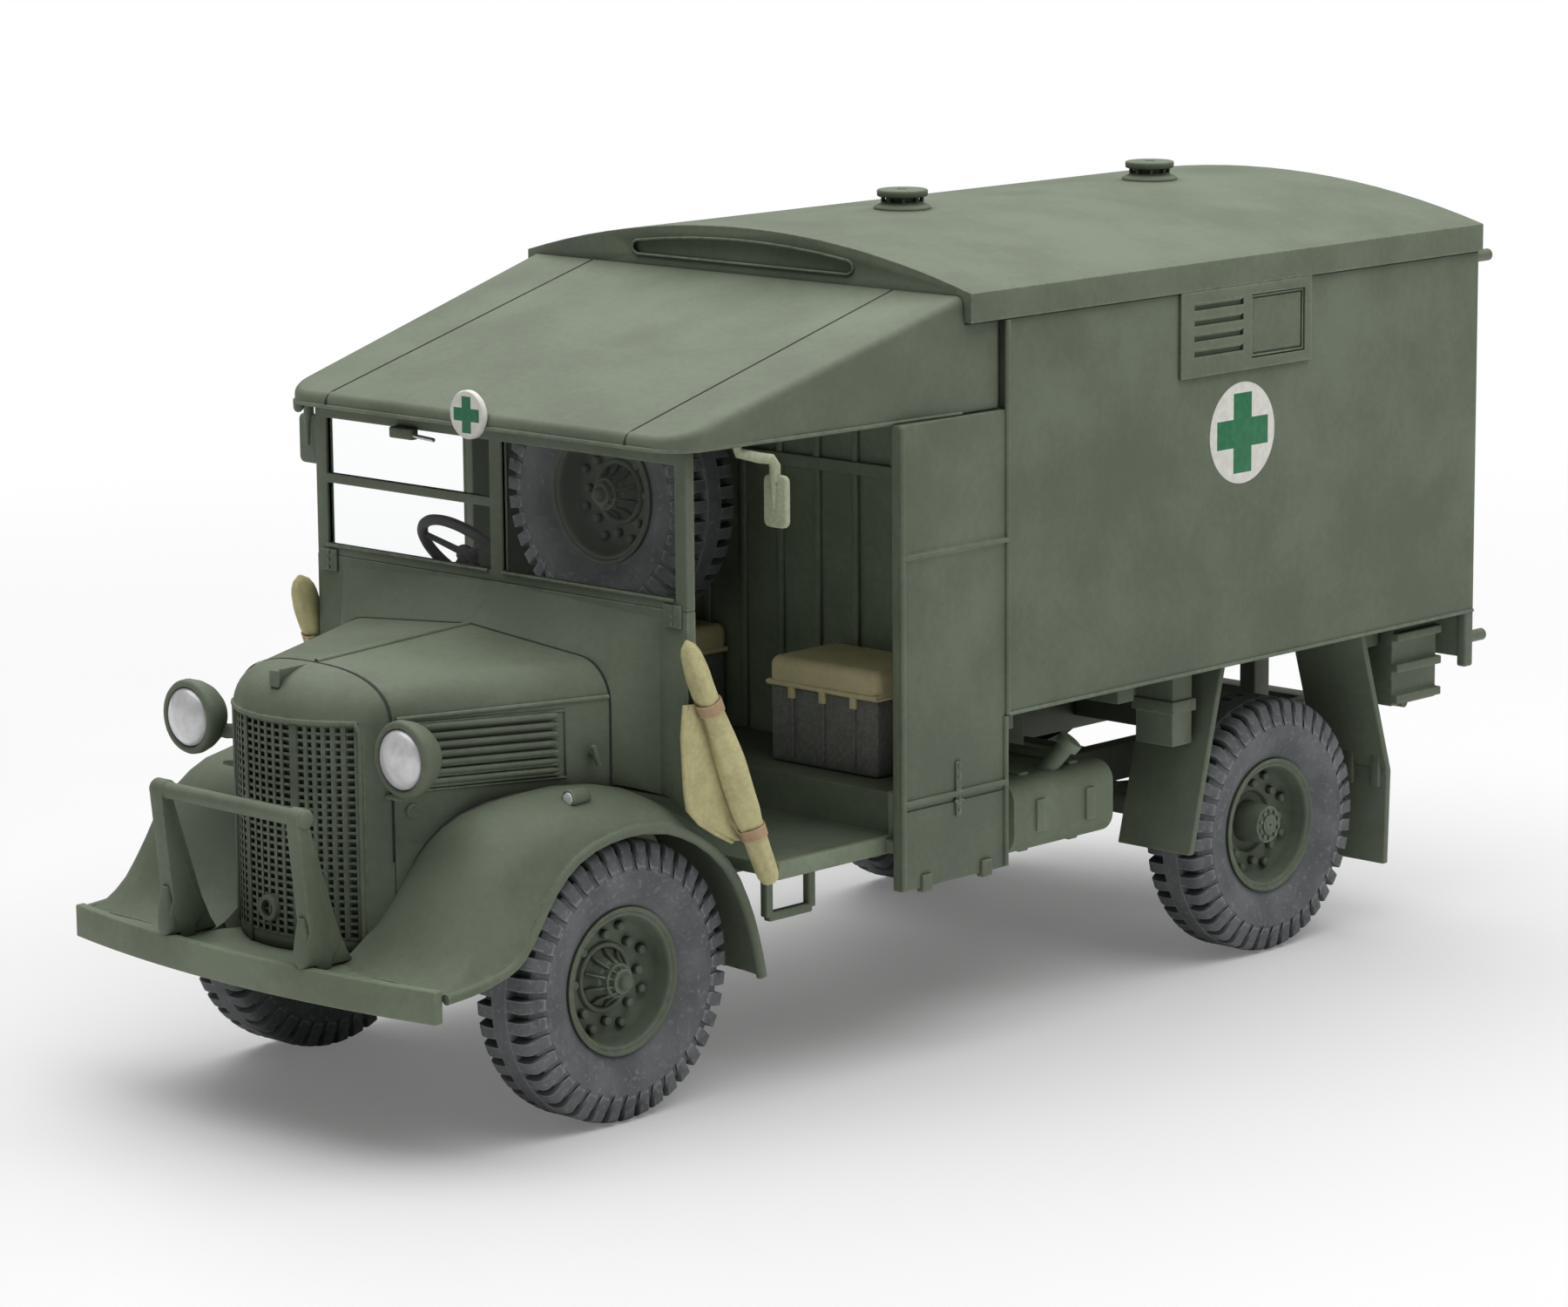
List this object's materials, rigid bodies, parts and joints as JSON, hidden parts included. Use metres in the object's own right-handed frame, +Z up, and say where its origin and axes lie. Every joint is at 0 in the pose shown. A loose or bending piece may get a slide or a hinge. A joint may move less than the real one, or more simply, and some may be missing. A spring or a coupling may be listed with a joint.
{
  "type": "military ambulance truck scale model",
  "caption": "Scale model of a bonneted military ambulance truck: open-sided cab under a sloping canopy, box body with arched roof, rolling wheels.",
  "frame": {"origin": "on the ground at the middle of the overall length and width", "axes": "-Y is the front of the truck, +X its left side, +Z up"},
  "size_m": [0.0472, 0.1188, 0.0622],
  "materials": {
    "clear_glazing": "clear moulded glazing",
    "dark_plastic": "matt near-black paint",
    "lamp_lens": "silvered lens",
    "olive_green": "matt olive paint over moulded plastic",
    "pale_green": "matt pale green paint",
    "tan_canvas": "matt tan paint",
    "tan_padding": "matt tan paint",
    "tyre_grey": "matt dry-brushed dark grey",
    "white_disc": "matt white marking"
  },
  "bodies": {
    "chassis": {"body_bearers": "olive_green", "body_floor": "olive_green", "body_side_left": "olive_green", "body_side_right": "olive_green", "bonnet": "olive_green", "bulkhead": "olive_green", "bumper_guard": "olive_green", "cab_floor": "olive_green", "canopy": "olive_green", "canvas_rolls": "tan_canvas", "cross_members": "olive_green", "drive_line": "olive_green", "engine_block": "olive_green", "exhaust": "olive_green", "frame_rails": "olive_green", "front_axle": "olive_green", "front_bumper": "olive_green", "front_disc": "white_disc", "front_springs": "olive_green", "fuel_tank": "olive_green", "headlamp_lenses": "lamp_lens", "headlamps": "olive_green", "mirrors": "pale_green", "radiator_grille": "olive_green", "radiator_shell": "olive_green", "rear_axle": "olive_green", "rear_door_left": "olive_green", "rear_door_right": "olive_green", "rear_mudguard_left": "olive_green", "rear_mudguard_right": "olive_green", "rear_racks": "olive_green", "rear_springs": "olive_green", "roof": "olive_green", "scuttle": "olive_green", "seat_boxes": "olive_green", "seat_lids": "tan_padding", "side_lamps": "olive_green", "side_panel_left": "olive_green", "side_panel_right": "olive_green", "side_vents": "olive_green", "spare_wheel": "tyre_grey", "steering_wheel": "dark_plastic", "strapped_box": "olive_green", "ventilators": "olive_green", "windscreen_frame": "olive_green", "windscreen_glass": "clear_glazing", "wing_left": "olive_green", "wing_right": "olive_green"},
    "wheel_front_left": {"rim_front_left": "olive_green", "tyre_front_left": "tyre_grey"},
    "wheel_front_right": {"rim_front_right": "olive_green", "tyre_front_right": "tyre_grey"},
    "wheel_rear_left": {"rim_rear_left": "olive_green", "tyre_rear_left": "tyre_grey"},
    "wheel_rear_right": {"rim_rear_right": "olive_green", "tyre_rear_right": "tyre_grey"}
  },
  "joints": [
    {"name": "front_left_roll", "type": "hinge", "parent": "chassis", "child": "wheel_front_left", "pos_m": [0.01583, -0.03773, 0.01034], "axis": [1, 0, 0], "continuous": true},
    {"name": "front_right_roll", "type": "hinge", "parent": "chassis", "child": "wheel_front_right", "pos_m": [-0.01583, -0.03773, 0.01034], "axis": [1, 0, 0], "continuous": true},
    {"name": "rear_left_roll", "type": "hinge", "parent": "chassis", "child": "wheel_rear_left", "pos_m": [0.01826, 0.03318, 0.01034], "axis": [1, 0, 0], "continuous": true},
    {"name": "rear_right_roll", "type": "hinge", "parent": "chassis", "child": "wheel_rear_right", "pos_m": [-0.01826, 0.03318, 0.01034], "axis": [1, 0, 0], "continuous": true}
  ]
}
